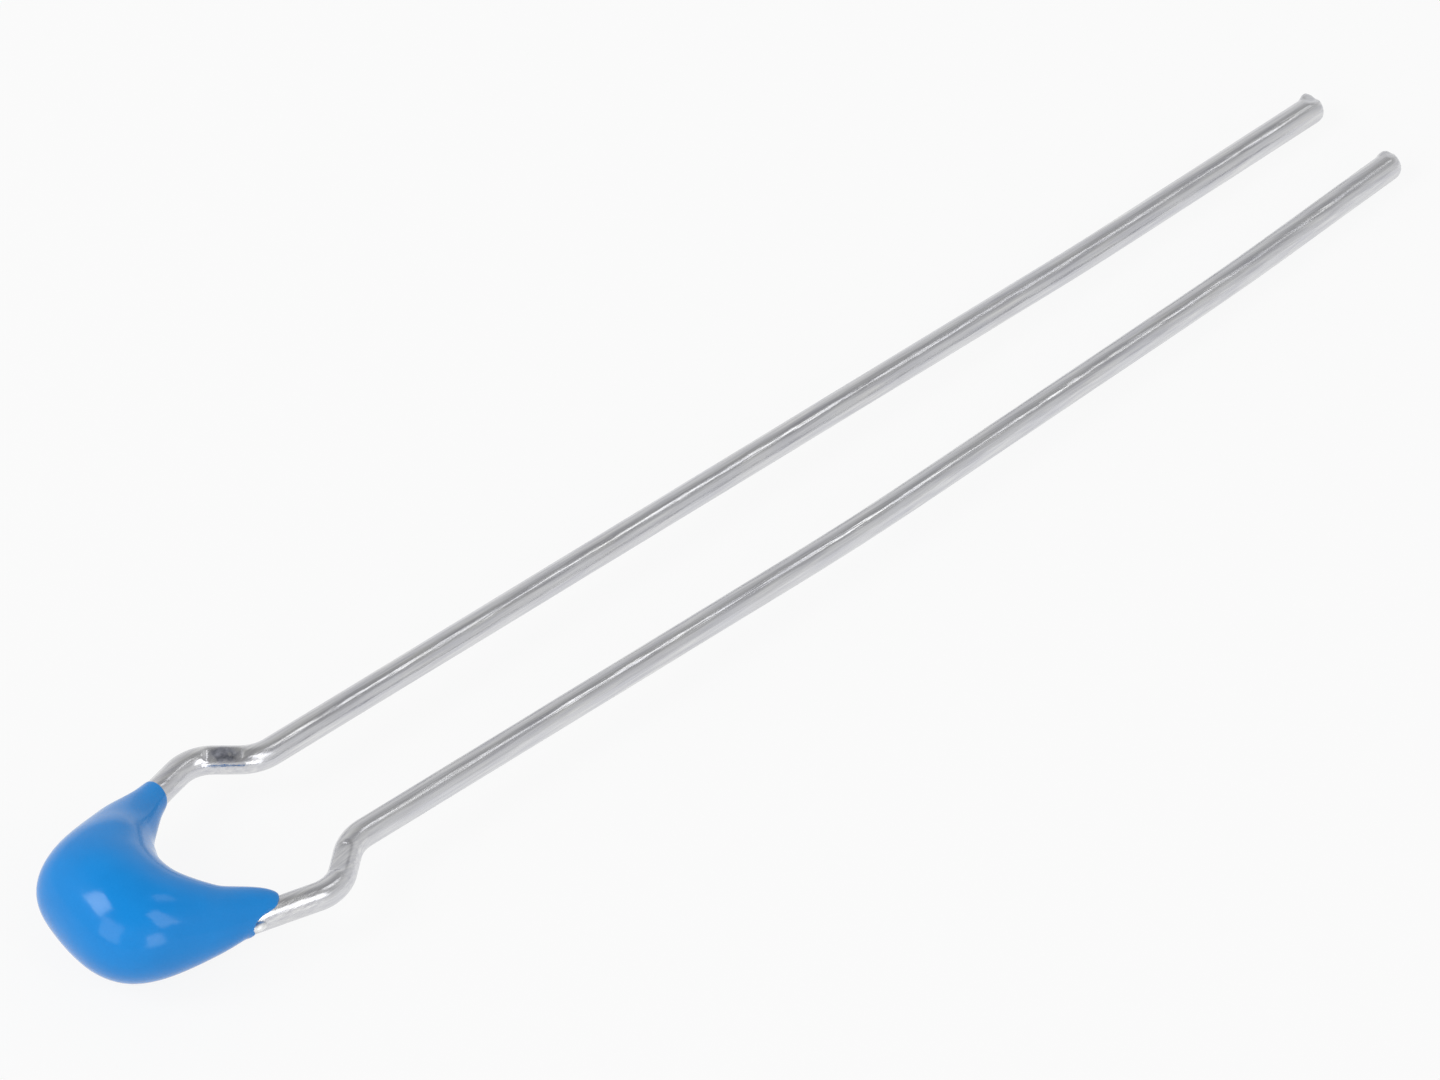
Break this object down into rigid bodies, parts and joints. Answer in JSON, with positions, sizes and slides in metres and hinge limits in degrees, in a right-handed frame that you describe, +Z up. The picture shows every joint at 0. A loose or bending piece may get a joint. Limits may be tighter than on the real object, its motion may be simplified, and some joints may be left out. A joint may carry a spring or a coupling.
{
  "type": "dipped radial multilayer ceramic capacitor",
  "caption": "Blue epoxy-dipped capacitor chip whose wire leads splay out of the coating, kink back in and run on straight, for soldering through a circuit board.",
  "frame": {"origin": "on the table under the middle of the part's bounding box, with the part lying down on the belly of its coating and its lead tips", "axes": "+X along the straight leads towards their tips, +Y across the part towards the left lead, +Z up from the table"},
  "size_m": [0.0296, 0.0044, 0.0022],
  "materials": {
    "epoxy_coating": "gloss",
    "tinned_wire": "satin",
    "solder": "satin",
    "termination": "satin",
    "ceramic": "matte",
    "electrode": "satin"
  },
  "bodies": {
    "root": {"coating": "epoxy_coating", "lead_left": "tinned_wire", "lead_right": "tinned_wire", "solder_bead": "solder", "solder_left": "solder", "solder_right": "solder", "termination_left": "termination", "termination_right": "termination", "ceramic_body": "ceramic", "electrode_left_01": "electrode", "electrode_right_01": "electrode", "electrode_left_02": "electrode", "electrode_right_02": "electrode", "electrode_left_03": "electrode", "electrode_right_03": "electrode", "electrode_left_04": "electrode", "electrode_right_04": "electrode", "electrode_left_05": "electrode", "electrode_right_05": "electrode", "electrode_left_06": "electrode", "electrode_right_06": "electrode", "electrode_left_07": "electrode", "electrode_right_07": "electrode", "electrode_left_08": "electrode", "electrode_right_08": "electrode", "electrode_left_09": "electrode", "electrode_right_09": "electrode", "electrode_left_10": "electrode", "electrode_right_10": "electrode", "electrode_left_11": "electrode", "electrode_right_11": "electrode", "electrode_left_12": "electrode", "electrode_right_12": "electrode"}
  },
  "joints": []
}
